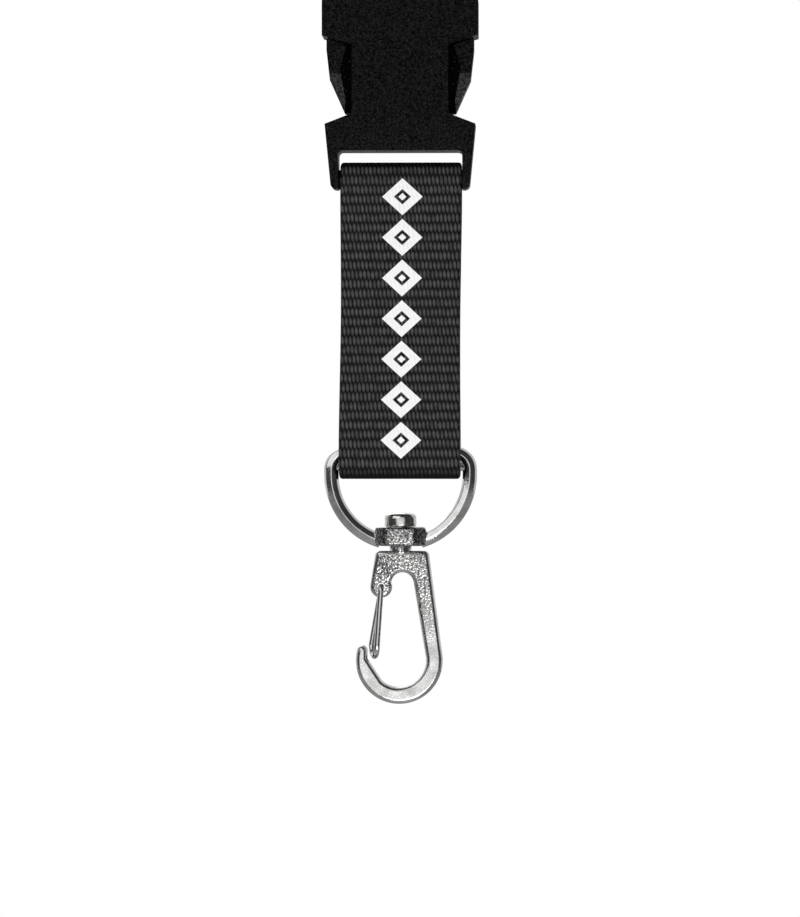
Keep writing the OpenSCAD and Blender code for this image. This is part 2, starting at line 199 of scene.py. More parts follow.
def merged_copy(node):
    """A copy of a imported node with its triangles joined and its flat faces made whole."""
    form = bmesh.new()
    form.from_mesh(frame["nodes"][node].data)
    bmesh.ops.remove_doubles(form, verts=form.verts, dist=0.002 * mm)
    bmesh.ops.dissolve_limit(form, angle_limit=math.radians(0.5), verts=form.verts, edges=form.edges)
    return form


def round_edges(form, width, segments, keep=None, sharper_than=25):
    """Rounds the edges that are sharper than an angle and that keep() accepts."""
    sharp = [edge for edge in form.edges
             if edge.is_manifold and edge.calc_face_angle(0) > math.radians(sharper_than)
             and (keep is None or keep(edge))]
    bmesh.ops.bevel(form, geom=sharp, offset=width, offset_type="OFFSET", segments=segments,
                    profile=0.5, affect="EDGES", clamp_overlap=True, material=-1)


def make_piece(form, name, materials, body, slot, *nodes):
    """Turns a bmesh into a smooth-shaded piece that rides on a body and stands for nodes."""
    mesh = bpy.data.meshes.new(name)
    form.to_mesh(mesh)
    form.free()
    for material in materials:
        mesh.materials.append(material)
    mesh.shade_smooth()
    piece = bpy.data.objects.new(name, mesh)
    scene.collection.objects.link(piece)
    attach(piece, body)
    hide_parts(*nodes)
    return piece


def even_normals(piece, sharp_angle=None):
    """Lets the large faces set the shading, so that flats stay flat up to their rounded edges."""
    if sharp_angle:
        piece.data.set_sharp_from_angle(angle=math.radians(sharp_angle))
    weighted = piece.modifiers.new("even_normals", "WEIGHTED_NORMAL")
    weighted.keep_sharp = True
    weighted.weight = 100


def raise_grain(tree, pattern, strength, distance):
    """Bumps a material's surface by a pattern, up to a distance, and returns the bump node."""
    bump = add_node(tree, "ShaderNodeBump", Strength=strength, Distance=distance)
    link(tree, pattern, 0, bump, "Height")
    link(tree, bump, "Normal", tree.nodes["Principled BSDF"], "Normal")
    return bump


def black_acetal(name, tint, shine_top):
    """Black plastic with a fine grain and painted glint specks: tint is its grey between the specks,
    shine_top how bright the grain glints.
    """
    material, tree, shader = new_material(name)
    where = add_node(tree, "ShaderNodeTexCoord")
    grain = add_node(tree, "ShaderNodeTexNoise", Scale=3200.0, Detail=3.0, Roughness=0.6)
    cloud = add_node(tree, "ShaderNodeTexNoise", Scale=260.0, Detail=4.0)
    specks = add_node(tree, "ShaderNodeTexVoronoi", Scale=1500.0)
    for pattern in (grain, cloud, specks):
        link(tree, where, "Object", pattern, "Vector")
    # Light grey specks in the base colour: painted glints of the grain
    painted_glint_specks = colour_ramp(tree, (0.03, (0.035, 0.035, 0.035)), (0.2, (tint, tint, tint * 1.05)))
    link(tree, specks, "Distance", painted_glint_specks, "Fac")
    link(tree, painted_glint_specks, "Color", shader, "Base Color")
    shine = add_node(tree, "ShaderNodeMapRange", From_Min=0.36, From_Max=0.66, To_Max=shine_top)
    link(tree, grain, 0, shine, "Value")
    link(tree, shine, "Result", shader, "Specular IOR Level")
    rough = add_node(tree, "ShaderNodeMapRange", To_Min=0.38, To_Max=0.56)
    link(tree, cloud, 0, rough, "Value")
    link(tree, rough, "Result", shader, "Roughness")
    raise_grain(tree, grain, 0.55, 0.05 * mm)
    return material


acetal = black_acetal("black_acetal", 0.0015, 0.14)
socket_form = merged_copy("buckle_socket")
round_edges(socket_form, moulded_edge, 3)
socket = make_piece(socket_form, "moulded_socket", [acetal], "socket", "buckle_plastic", "buckle_socket")
even_normals(socket)


# Buckle plug: the upper half, in the same black acetal, with a slot and bar for the neck strap
# and a tongue that slides between the socket's plates.
plug_form = merged_copy("buckle_plug")
round_edges(plug_form, moulded_edge * 0.8, 3)
plug = make_piece(plug_form, "moulded_plug", [acetal], "plug", "buckle_plastic", "buckle_plug")
even_normals(plug)


# Latch arms: the two springy arms of the plug. Fingers press the raised grips in the socket's
# side windows, and the shoulders hook under the rail. Below its kink a grip falls away to its tip,
# glints more and is greyer with painted light; the web beside it is set back, matt and painted darker as
# shade.
facet_z = -21.3 * mm
facet_drop = 0.75 * mm
grip_step = 0.8 * mm
on_face = 0.02 * mm
# Lit and shaded copies of the acetal: the grip's greyer tint is painted light, the web's darker tint painted
# shade
arm_plastics = [acetal, black_acetal("lit_grip_acetal", 0.006, 0.5), black_acetal("shaded_web_acetal", 0.0004, 0.02)]
for side in ("left", "right"):
    arm_form = merged_copy("latch_arm_" + side)
    low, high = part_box("latch_arm_" + side)
    bmesh.ops.bisect_plane(arm_form, geom=arm_form.verts[:] + arm_form.edges[:] + arm_form.faces[:],
                           plane_co=(0, 0, facet_z), plane_no=(0, 0, 1))
    for vert in arm_form.verts:
        if vert.co.z < facet_z - on_face and abs(vert.co.y) > high.y - on_face:
            share = (facet_z - vert.co.z) / (facet_z - low.z)
            vert.co.y -= math.copysign(facet_drop * share, vert.co.y)
    round_edges(arm_form, moulded_edge * 0.7, 3, sharper_than=12)
    for face in arm_form.faces:
        middle = face.calc_center_median()
        if abs(face.normal.y) > 0.7 and high.y - abs(middle.y) > grip_step - on_face:
            face.material_index = 2
        elif abs(face.normal.y) > 0.7 and middle.z < facet_z:
            face.material_index = 1
    arm = make_piece(arm_form, "sprung_arm_" + side, arm_plastics, "arm_" + side, "buckle_plastic",
                     "latch_arm_" + side)
    even_normals(arm)


# Strap: one length of woven polyester webbing folded round the buckle bar and the D-ring bar
# into a belt, its ends lapped on the back layer. The warp stands in staggered lens-shaped floats.
strap_low, strap_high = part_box("strap_webbing")
web_w = strap_high.x - strap_low.x
web_t = 1.2 * mm
seam_len = 16 * mm
jog_len = 2.5 * mm
bar_z = joint_at["strap_swing"].z
loop_z = joint_at["ring_swing"].z
top_r = strap_high.z - bar_z - web_t / 2
low_r = loop_z - strap_low.z - web_t / 2
drop = bar_z - loop_z
lean = math.asin((low_r - top_r) / drop)
straight = drop * math.cos(lean)
front_pinch = 0.55 * mm
back_pinch = 0.25 * mm
seam_start = (straight - seam_len) / 2

# The five stretches of the belt, from the hidden end on the back to the outer end over it
back_run = straight - seam_start
low_run = low_r * (math.pi + 2 * lean)
front_run = straight
top_run = top_r * (math.pi - 2 * lean)
lap_run = seam_start + seam_len
web_len = back_run + low_run + front_run + top_run + lap_run
print_mid = back_run + low_run + front_run / 2


def smooth_step(value):
    value = min(1.0, max(0.0, value))
    return value * value * (3 - 2 * value)


def belt_place(run):
    """Middle of the webbing, as Y and Z, and the way out of the belt, at a length along it."""
    if run < back_run:
        part = (run + seam_start) / straight
        angle, centre_z, reach = lean, bar_z - part * drop, top_r + part * (low_r - top_r)
        reach -= back_pinch * math.sin(math.pi * part) ** 2
    elif run < back_run + low_run:
        angle = lean - (run - back_run) / low_r
        centre_z, reach = loop_z, low_r
    elif run < back_run + low_run + front_run:
        part = 1 - (run - back_run - low_run) / straight
        angle, centre_z, reach = math.pi - lean, bar_z - part * drop, top_r + part * (low_r - top_r)
        reach -= front_pinch * math.sin(math.pi * part) ** 2
    elif run < back_run + low_run + front_run + top_run:
        angle = math.pi - lean - (run - back_run - low_run - front_run) / top_r
        centre_z, reach = bar_z, top_r
    else:
        part = (run - back_run - low_run - front_run - top_run) / straight
        angle, centre_z, reach = lean, bar_z - part * drop, top_r + part * (low_r - top_r)
        reach -= back_pinch * math.sin(math.pi * part) ** 2
        reach += web_t * smooth_step((part * straight - seam_start + jog_len) / jog_len)
    out = Vector((math.cos(angle), math.sin(angle)))
    return Vector((0, centre_z)) + reach * out, out


# The floats stand side by side in rows, and every other row is moved over by half a float
float_columns = 30
column_steps = 5
float_pitch = web_w / float_columns
float_period = 1.53 * mm
float_steps = 6
float_fill = 1.16
float_lean = 0.22
relief = 0.13 * mm
edge_steps = 4
inner_columns = 20
run_steps = round(web_len / float_period * float_steps)
top_press, low_press = 1.2 * mm, 2.4 * mm
pressed_relief = 0.3
edge_wander = 0.12 * mm
waist = 0.2 * mm


def float_height(x, run):
    """Height of the warp over the weft, from 0 to 1: lens shapes whose tips reach between the next row's."""
    height = 0.0
    here = math.floor(run / float_period)
    for row in (here - 1, here, here + 1):
        along = 2 * (run / float_period - row - 0.5) / float_fill
        across = x / float_pitch + row % 2 / 2
        off = 2 * (across - math.floor(across) - 0.5) + float_lean * along
        height = max(height, 1 - along * along - off * off)
    return math.sqrt(height)


def fold_press_and_shade(z):
    """0 at the very top and bottom of the belt, where the webbing is pressed and painted shade darkens its
    colour, and 1 further in.
    """
    return smooth_step(min((strap_high.z - z) / top_press, (z - strap_low.z) / low_press))


def cross_section():
    """Points round the webbing's section: X, height over the middle and share of the relief."""
    flat = web_w / 2 - web_t / 2
    outer = float_columns * column_steps
    points = []
    for i in range(outer + 1):
        x = -web_w / 2 + web_w * i / outer
        past_flat = max(0.0, abs(x) - flat) / (web_t / 2)
        points.append((x, math.sqrt(max(0.0, 1 - past_flat ** 2)) * web_t / 2, 1.0))
    turns = [math.pi / 2 * i / edge_steps for i in range(1, edge_steps)]
    inner = [(flat + web_t / 2 * math.cos(turn), -web_t / 2 * math.sin(turn), 0.0) for turn in turns]
    points += inner
    points += [(flat - 2 * flat * i / inner_columns, -web_t / 2, 0.0) for i in range(inner_columns + 1)]
    points += [(-x, h, share) for x, h, share in reversed(inner)]
    return points


section = cross_section()
web_form = bmesh.new()
bmesh.ops.create_grid(web_form, x_segments=len(section), y_segments=run_steps, size=0.5)
web_uv = web_form.loops.layers.uv.new("webbing")
press_and_shade_layer = web_form.verts.layers.float.new("fold_press_and_shade")
places = [belt_place(web_len * j / run_steps) for j in range(run_steps + 1)]
cloth_at = {}
for vert in web_form.verts:
    i = round((vert.co.x + 0.5) * len(section)) % len(section)
    j = round((vert.co.y + 0.5) * run_steps)
    x, height, share = section[i]
    run = web_len * j / run_steps
    middle, out = places[j]
    fade = fold_press_and_shade(middle.y + web_t / 2 * out.y)
    lift = float_height(x, run) * (pressed_relief + (1 - pressed_relief) * fade)
    height -= share * relief * (1 - lift)
    yz = middle + height * out
    down = min(1.0, max(0.0, (bar_z - yz.y) / drop))
    wander = edge_wander * math.cos(math.pi * down)
    wander += x / web_w * waist * (math.cos(2 * math.pi * down) - 1)
    vert.co = Vector((x + wander, yz.x, yz.y))
    # The same share goes to the material, which darkens the folds with painted shade
    vert[press_and_shade_layer] = fade
    cloth_at[vert] = (x, run)
for face in web_form.faces:
    for corner in face.loops:
        corner[web_uv].uv = cloth_at[corner.vert]
bmesh.ops.remove_doubles(web_form, verts=web_form.verts, dist=0.0005 * mm)
bmesh.ops.holes_fill(web_form, edges=[edge for edge in web_form.edges if edge.is_boundary])
bmesh.ops.recalc_face_normals(web_form, faces=web_form.faces)


def printed_webbing():
    """Charcoal warp over black weft, with painted highlights along the floats, painted shade at the folds
    and a chain of white lozenges down both faces of the front layer.
    """
    material, tree, shader = new_material("printed_webbing")
    lozenge_pitch = 6.6 * mm
    lozenge_count = 7
    half_w = 3.3 * mm
    half_h = 3.0 * mm
    heart_size, pip_size = 0.42, 0.2
    print_x = 0.25 * mm
    cloth = add_node(tree, "ShaderNodeUVMap", uv_map="webbing")
    split = add_node(tree, "ShaderNodeSeparateXYZ")
    link(tree, cloth, "UV", split, "Vector")
    fade = add_node(tree, "ShaderNodeAttribute", attribute_name="fold_press_and_shade")

    def calc(operation, *values):
        node = add_node(tree, "ShaderNodeMath", operation=operation)
        for socket_in, value in zip(node.inputs, values):
            if isinstance(value, (int, float)):
                socket_in.default_value = value
            else:
                tree.links.new(value, socket_in)
        return node.outputs[0]

    # Distance from the nearest lozenge's middle, 1 at its outline. Its heart is left black round a pip.
    shifted = calc("ADD", split.outputs["Y"], -print_mid + lozenge_pitch / 2)
    along = calc("SUBTRACT", calc("FLOORED_MODULO", shifted, lozenge_pitch), lozenge_pitch / 2)
    beside = calc("ABSOLUTE", calc("SUBTRACT", split.outputs["X"], print_x))
    radius = calc("ADD", calc("DIVIDE", beside, half_w), calc("DIVIDE", calc("ABSOLUTE", along), half_h))
    body = calc("LESS_THAN", radius, 1.0)
    heart = calc("LESS_THAN", radius, heart_size)
    pip = calc("LESS_THAN", radius, pip_size)
    ink = calc("ADD", calc("SUBTRACT", body, heart), pip)
    reach = calc("ABSOLUTE", calc("SUBTRACT", split.outputs["Y"], print_mid))
    ink = calc("MULTIPLY", ink, calc("LESS_THAN", reach, lozenge_count * lozenge_pitch / 2))

    # The floats again, as lens shapes: charcoal warp with a painted highlight along their middles, over the
    # black weft between them
    fibre_scale = add_node(tree, "ShaderNodeMapping", Scale=(9000.0, 700.0, 1.0))
    link(tree, cloth, "UV", fibre_scale, "Vector")
    fibres = add_node(tree, "ShaderNodeTexNoise", Scale=1.0, Detail=3.0, Roughness=0.7)
    link(tree, fibre_scale, "Vector", fibres, "Vector")
    patches = add_node(tree, "ShaderNodeTexNoise", Scale=900.0, Detail=2.0)
    link(tree, cloth, "UV", patches, "Vector")
    runs = calc("DIVIDE", split.outputs["Y"], float_period)
    lens = 0.0
    for step in (-1, 0, 1):
        row = calc("ADD", calc("FLOOR", runs), step)
        along = calc("MULTIPLY", calc("SUBTRACT", calc("SUBTRACT", runs, row), 0.5), 2.0 / float_fill)
        columns = calc("DIVIDE", split.outputs["X"], float_pitch)
        across = calc("FRACT", calc("MULTIPLY_ADD", row, 0.5, columns))
        off = calc("MULTIPLY_ADD", along, float_lean, calc("MULTIPLY_ADD", across, 2.0, -1.0))
        one = calc("SUBTRACT", 1.0, calc("ADD", calc("MULTIPLY", along, along), calc("MULTIPLY", off, off)))
        lens = calc("MAXIMUM", lens, one)
    # Towards the folds the float pattern darkens: painted shade at the top and bottom of the belt
    lens = calc("MULTIPLY", calc("POWER", lens, 1.2), fade.outputs["Fac"])
    streak = calc("MULTIPLY_ADD", fibres.outputs[0], 1.5, -0.1)
    mottle = calc("MULTIPLY", patches.outputs[0], 2.2)
    shade = calc("MULTIPLY", lens, calc("MULTIPLY", streak, mottle))
    yarn = colour_ramp(tree, (0.02, (0.0015, 0.0015, 0.0016)), (0.75, (0.078, 0.078, 0.08)))
    tree.links.new(shade, yarn.inputs["Fac"])
    colour = add_node(tree, "ShaderNodeMix", data_type="RGBA")
    colour.inputs[7].default_value = (0.95, 0.95, 0.95, 1)
    tree.links.new(ink, colour.inputs[0])
    link(tree, yarn, "Color", colour, 6)
    link(tree, colour, 2, shader, "Base Color")
    raise_grain(tree, fibres, 0.6, 0.04 * mm)
    shader.inputs["Roughness"].default_value = 0.62
    shader.inputs["Specular IOR Level"].default_value = 0.08
    return material


strap = make_piece(web_form, "folded_strap", [printed_webbing()], "strap", "webbing", "strap_webbing")


# Seam: a box of lockstitch in black thread through the lapped ends on the back layer.
thread_d = 0.42 * mm
stitch_len = 1.9 * mm
stitch_gap = 0.6 * mm
stitch_edge = 2 * mm
stitch_bulge = 1.12
stitch_lift = 0.02 * mm
lap_start = back_run + low_run + front_run + top_run + seam_start


def black_thread():
    """Black polyester thread, its twist shown as a fine grain."""
    material, tree, shader = new_material("black_thread")
    where = add_node(tree, "ShaderNodeTexCoord")
    twist = add_node(tree, "ShaderNodeTexNoise", Scale=9000.0, Detail=1.0)
    link(tree, where, "Object", twist, "Vector")
    tint = colour_ramp(tree, (0.0, (0.006, 0.006, 0.006)), (1.0, (0.035, 0.035, 0.036)))
    link(tree, twist, 0, tint, "Fac")
    link(tree, tint, "Color", shader, "Base Color")
    raise_grain(tree, twist, 0.5, 0.05 * mm)
    shader.inputs["Roughness"].default_value = 0.5
    return material


def stitch_row(form, start, end):
    """Stitches in a straight line between two places, given as X and length along the lap."""
    start, end = Vector(start), Vector(end)
    way = (end - start).normalized()
    pitch = stitch_len + stitch_gap
    count = int(((end - start).length + stitch_gap) / pitch)
    for i in range(count):
        middle = (start + end) / 2 + way * (i - (count - 1) / 2) * pitch
        place, out = belt_place(lap_start + middle.y)
        place = place + out * (web_t / 2 + stitch_lift)
        ball = bmesh.ops.create_uvsphere(form, u_segments=10, v_segments=8, radius=0.5)["verts"]
        turn = Matrix.Rotation(math.atan2(-way.y, way.x), 4, "Y")
        tilt = Matrix.Rotation(lean, 4, "X")
        seat = Matrix.Translation((middle.x, place.x, place.y))
        bmesh.ops.scale(form, verts=ball, vec=(stitch_len * stitch_bulge, thread_d, thread_d))
        bmesh.ops.transform(form, verts=ball, matrix=seat @ tilt @ turn)


stitch_form = bmesh.new()
half_x = web_w / 2 - stitch_edge
near, far = stitch_edge, seam_len - stitch_edge
for along in (near, far):
    stitch_row(stitch_form, (-half_x, along), (half_x, along))
for x in (-half_x, half_x):
    stitch_row(stitch_form, (x, near + stitch_len / 2), (x, far - stitch_len / 2))
make_piece(stitch_form, "lockstitch_box", [black_thread()], "strap", "thread", "seam_stitching")


# D-ring: a zinc die casting, barrel finished and nickel plated. Its round part is eight-sided
# with softened corners, the bar inside the webbing is taller, and the collar carries the swivel.
ring_low, ring_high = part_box("d_ring")
rod_d = 2.4 * mm
bar_h = 4.1 * mm
bar_depth = rod_d * 0.96
bar_inset = 0.3 * mm
bar_edge = 1.1 * mm
ring_r = ring_high.x - rod_d / 2
corner_out_r = 3.85 * mm
corner_r = corner_out_r - rod_d / 2
corner = Vector((ring_r - corner_r, 0, ring_high.z - corner_out_r))
ring_drop = 2.6 * mm
ring_mid_z = loop_z - ring_drop
collar_w = 8.3 * mm
collar_h = 3.1 * mm
collar_cut = 1.8 * mm
collar_edge = 0.5 * mm
collar_depth = ring_high.y - ring_low.y
collar_rise = 1.2 * mm
collar_mid_z = ring_mid_z - ring_r + collar_rise
bore_r = 1.28 * mm
rod_round = 0.25 * mm
rod_sunk = 0.9 * mm
rod_end = math.asin((collar_w / 2 - rod_sunk) / ring_r)


def plated_zinc(name, pebble, roughness, hollow_shade_share=0.0, smooth_z=None):
    """Bright nickel over cast zinc. The cast skin shows through it, pebble deep, and spots is the share
    of painted shade that darkens its hollows. Between the two heights in smooth_z it fades out downwards."""
    material, tree, shader = new_material(name)
    where = add_node(tree, "ShaderNodeTexCoord")
    skin = add_node(tree, "ShaderNodeTexNoise", Scale=2900.0, Detail=1.0, Roughness=0.5)
    wear = add_node(tree, "ShaderNodeTexNoise", Scale=420.0, Detail=4.0)
    for pattern in (skin, wear):
        link(tree, where, "Object", pattern, "Vector")
    tone = colour_ramp(tree, (0.3, (0.42, 0.42, 0.415)), (0.6, (0.58, 0.58, 0.575)))
    link(tree, wear, 0, tone, "Fac")
    # Dark colour in the hollows of the cast skin: painted shade
    hollow_shade = colour_ramp(tree, (0.38, (0.09, 0.09, 0.09)), (0.64, (0.75, 0.75, 0.75)))
    link(tree, skin, 0, hollow_shade, "Fac")
    shaded_tone = add_node(tree, "ShaderNodeMix", data_type="RGBA", blend_type="MULTIPLY")
    shaded_tone.inputs[0].default_value = hollow_shade_share
    link(tree, tone, "Color", shaded_tone, 6)
    link(tree, hollow_shade, "Color", shaded_tone, 7)
    link(tree, shaded_tone, 2, shader, "Base Color")
    dull = add_node(tree, "ShaderNodeMapRange", To_Min=roughness * 0.7, To_Max=roughness * 1.3)
    link(tree, wear, 0, dull, "Value")
    link(tree, dull, "Result", shader, "Roughness")
    bump = raise_grain(tree, skin, 1.0, pebble)
    if smooth_z:
        height = add_node(tree, "ShaderNodeSeparateXYZ")
        link(tree, where, "Object", height, "Vector")
        low, high = smooth_z
        fade = add_node(tree, "ShaderNodeMapRange", From_Min=low, From_Max=high, To_Min=0.1)
        link(tree, height, "Z", fade, "Value")
        link(tree, fade, "Result", bump, "Strength")
        share = add_node(tree, "ShaderNodeMath", operation="MULTIPLY")
        share.inputs[1].default_value = hollow_shade_share
        link(tree, fade, "Result", share, 0)
        link(tree, share, 0, shaded_tone, 0)
    shader.inputs["Metallic"].default_value = 1.0
    return material


def combine(piece_form, other_form, operation):
    """Joins or cuts two closed forms with an exact boolean and returns the result as a bmesh."""
    pair = []
    for form in (piece_form, other_form):
        mesh = bpy.data.meshes.new("work")
        form.to_mesh(mesh)
        form.free()
        work = bpy.data.objects.new("work", mesh)
        scene.collection.objects.link(work)
        pair.append(work)
    change = pair[0].modifiers.new("change", "BOOLEAN")
    change.operation = operation
    change.solver = "EXACT"
    change.object = pair[1]
    view = bpy.context.evaluated_depsgraph_get()
    result = bmesh.new()
    result.from_object(pair[0], view)
    for work in pair:
        mesh = work.data
        bpy.data.objects.remove(work)
        bpy.data.meshes.remove(mesh)
    return result


def arc(centre, radius, start, end, steps):
    """Points on an arc in a plane, angles in degrees, both ends included."""
    angles = [math.radians(start + (end - start) * i / steps) for i in range(steps + 1)]
    return [(centre[0] + radius * math.cos(a), centre[1] + radius * math.sin(a)) for a in angles]


def swept(section, path):
    """A closed form from a flat section, given as X and Y, carried square to a path of points."""
    form = bmesh.new()
    path = [Vector(point) for point in path]
    ways = [(path[min(i + 1, len(path) - 1)] - path[max(i - 1, 0)]).normalized() for i in range(len(path))]
    ring_verts = [form.verts.new((x, y, 0)) for x, y in section]
    edges = [form.edges.new(pair) for pair in zip(ring_verts, ring_verts[1:] + ring_verts[:1])]
    here, way = Vector((0, 0, 0)), Vector((0, 0, 1))
    for there, next_way in zip(path, ways):
        if here.length:
            made = bmesh.ops.extrude_edge_only(form, edges=edges)["geom"]
            ring_verts = [item for item in made if isinstance(item, bmesh.types.BMVert)]
            edges = [edge for edge in form.edges if all(vert in ring_verts for vert in edge.verts)]
        turn = way.rotation_difference(next_way).to_matrix().to_4x4()
        bmesh.ops.transform(form, verts=ring_verts,
                            matrix=Matrix.Translation(there) @ turn @ Matrix.Translation(-here))
        here, way = there, next_way
    bmesh.ops.holes_fill(form, edges=[edge for edge in form.edges if edge.is_boundary])
    bmesh.ops.recalc_face_normals(form, faces=form.faces)
    return form


def ring_rod():
    """The eight-sided rod, swept from one side of the collar round the D to the other."""
    rod_r = rod_d / 2
    centre_r = rod_r - rod_round / math.cos(math.pi / 8)
    section = []
    for i in range(8):
        turn = 45 * i
        middle = (centre_r * math.cos(math.radians(turn)), centre_r * math.sin(math.radians(turn)))
        section += arc(middle, rod_round, turn - 22.5, turn + 22.5, 3)
    end = math.degrees(rod_end)
    path = arc((0, ring_mid_z), ring_r, end - 90, 0, 48)
    path += arc((corner.x, corner.z), corner_r, 0, 90, 20)
    path += arc((-corner.x, corner.z), corner_r, 90, 180, 20)
    path += arc((0, ring_mid_z), ring_r, 180, 270 - end, 48)
    return swept(section, [(x, 0, z) for x, z in path])


def block(size, middle):
    """A closed box of the given size."""
    form = bmesh.new()
    bmesh.ops.create_cube(form, size=1.0)
    bmesh.ops.scale(form, verts=form.verts, vec=size)
    bmesh.ops.translate(form, verts=form.verts, vec=middle)
    return form


def cylinder(radius, length, segments):
    """A closed cylinder along Z with its middle at the origin."""
    form = bmesh.new()
    bmesh.ops.create_cone(form, cap_ends=True, segments=segments, radius1=radius, radius2=radius,
                          depth=length)
    return form


flat_bar = block((2 * (ring_r - bar_inset), bar_depth, bar_h - 2 * bar_inset), (0, 0, loop_z - bar_inset))
for vert in flat_bar.verts:
    if vert.co.z > loop_z:
        vert.co.x = math.copysign(corner.x, vert.co.x)
round_edges(flat_bar, bar_edge, 5, keep=lambda edge: abs(edge.verts[0].co.x - edge.verts[1].co.x) > mm)
collar_form = block((collar_w, collar_depth, collar_h), (0, 0, collar_mid_z))
round_edges(collar_form, collar_cut, 1, keep=lambda edge: abs(edge.verts[0].co.z - edge.verts[1].co.z) > mm)
round_edges(collar_form, collar_edge, 3)
bore = cylinder(bore_r, collar_h * 2, 48)
bmesh.ops.translate(bore, verts=bore.verts, vec=(0, 0, collar_mid_z))
ring_form = combine(ring_rod(), flat_bar, "UNION")
ring_form = combine(ring_form, collar_form, "UNION")
ring_form = combine(ring_form, bore, "DIFFERENCE")
for face in ring_form.faces:
    centre = face.calc_center_median()
    in_collar = abs(centre.x) < collar_w / 2 and abs(centre.z - collar_mid_z) < collar_h / 2 - 0.1 * mm
    face.material_index = 1 if in_collar and abs(centre.y) > rod_d / 2 else 0
ring_metals = [plated_zinc("plated_rod", 0.015 * mm, 0.14), plated_zinc("cast_collar", 0.08 * mm, 0.2, 1.0)]
ring = make_piece(ring_form, "cast_ring", ring_metals, "ring", "plated_casting", "d_ring")
even_normals(ring, 38)


# Swivel rivet: a turned steel pin, nickel plated, with a domed head that bears on the collar.
rivet_low, rivet_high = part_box("swivel_rivet")
head_r = rivet_high.x
head_h = 2.3 * mm
head_round = 0.75 * mm
head_dome = 0.18 * mm
shank_r = 1.2 * mm
pin_edge = 0.2 * mm
head_foot = rivet_high.z - head_h


def bright_steel(name, grain_scale):
    """Plated steel with fine marks from drawing or turning."""
    material, tree, shader = new_material(name)
    where = add_node(tree, "ShaderNodeTexCoord")
    stretch = add_node(tree, "ShaderNodeMapping", Scale=grain_scale)
    link(tree, where, "Object", stretch, "Vector")
    marks = add_node(tree, "ShaderNodeTexNoise", Scale=1.0, Detail=3.0)
    link(tree, stretch, "Vector", marks, "Vector")
    tone = colour_ramp(tree, (0.25, (0.36, 0.36, 0.355)), (0.65, (0.62, 0.62, 0.61)))
    link(tree, marks, 0, tone, "Fac")
    link(tree, tone, "Color", shader, "Base Color")
    raise_grain(tree, marks, 0.6, 0.02 * mm)
    shader.inputs["Metallic"].default_value = 1.0
    shader.inputs["Roughness"].default_value = 0.13
    return material


def turned(profile, steps=64):
    """A closed turning about the Z axis from a profile of radius and height that starts and ends on it."""
    form = bmesh.new()
    verts = [form.verts.new((radius, 0, height)) for radius, height in profile]
    edges = [form.edges.new(pair) for pair in zip(verts, verts[1:])]
    bmesh.ops.spin(form, geom=verts + edges, cent=(0, 0, 0), axis=(0, 0, 1), angle=2 * math.pi,
                   steps=steps, use_merge=True)
    bmesh.ops.remove_doubles(form, verts=form.verts, dist=0.001 * mm)
    bmesh.ops.recalc_face_normals(form, faces=form.faces)
    return form


dome_r = head_r - head_round
rivet_profile = [(0, rivet_low.z), (shank_r - pin_edge, rivet_low.z), (shank_r, rivet_low.z + pin_edge),
                 (shank_r, head_foot), (head_r - pin_edge, head_foot)]
rivet_profile += arc((head_r - pin_edge, head_foot + pin_edge), pin_edge, -60, 0, 3)
rivet_profile += arc((dome_r, rivet_high.z - head_dome - head_round), head_round, 0, 82, 8)
rivet_profile += [(dome_r * part, rivet_high.z - head_dome * part ** 2) for part in (0.75, 0.5, 0.25, 0)]
turned_steel = bright_steel("turned_steel", (900, 900, 5200))
rivet = make_piece(turned(rivet_profile), "domed_rivet", [turned_steel], "hook", "steel", "swivel_rivet")
even_normals(rivet, 40)


# Snap hook: a flat zinc die casting, nickel plated. Its broad faces keep the pebbled cast skin at
# the top, its edges are rolled smooth, and the ear thins towards the hole that holds the gate.
boss_h = 0.75 * mm
boss_r = 1.8 * mm
boss_foot = 0.5 * mm
boss_edge = 0.15 * mm
hook_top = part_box("hook_body")[1].z - boss_h
hook_depth = 3.4 * mm
roll_in, roll_deep, roll_steps = 0.75 * mm, 1.05 * mm, 9
top_left, top_right, top_round = -4.15 * mm, 4.7 * mm, 0.8 * mm
arch, arch_r = Vector((0.3, -5.3)) * mm, 1.8 * mm
bow, bow_r, bow_t = Vector((-0.2, -17.85)) * mm, 7.1 * mm, 2.75 * mm
ear, ear_r, ear_hole_r = Vector((-3.15, -5.85)) * mm, 1.8 * mm, 0.655 * mm
ear_depth = 2.2 * mm
ear_in_angle = 12
nose_r, nose_angle, nose_side, nose_cut_angle = 0.85 * mm, 165, 1.3 * mm, 229
pebbled_from, smooth_from = hook_top - 7 * mm, hook_top - 16 * mm


def way_at(angle):
    """The unit vector at an angle in degrees."""
    return Vector((math.cos(math.radians(angle)), math.sin(math.radians(angle))))


nose = bow + (bow_r - nose_r) * way_at(nose_angle)


def touch_angle(a, a_r, b, b_r, side):
    """Direction, in degrees, of the points where a line touches two circles on one side."""
    way = math.atan2(b.y - a.y, b.x - a.x)
    return math.degrees(way + side * math.acos((a_r - b_r) / (b - a).length))


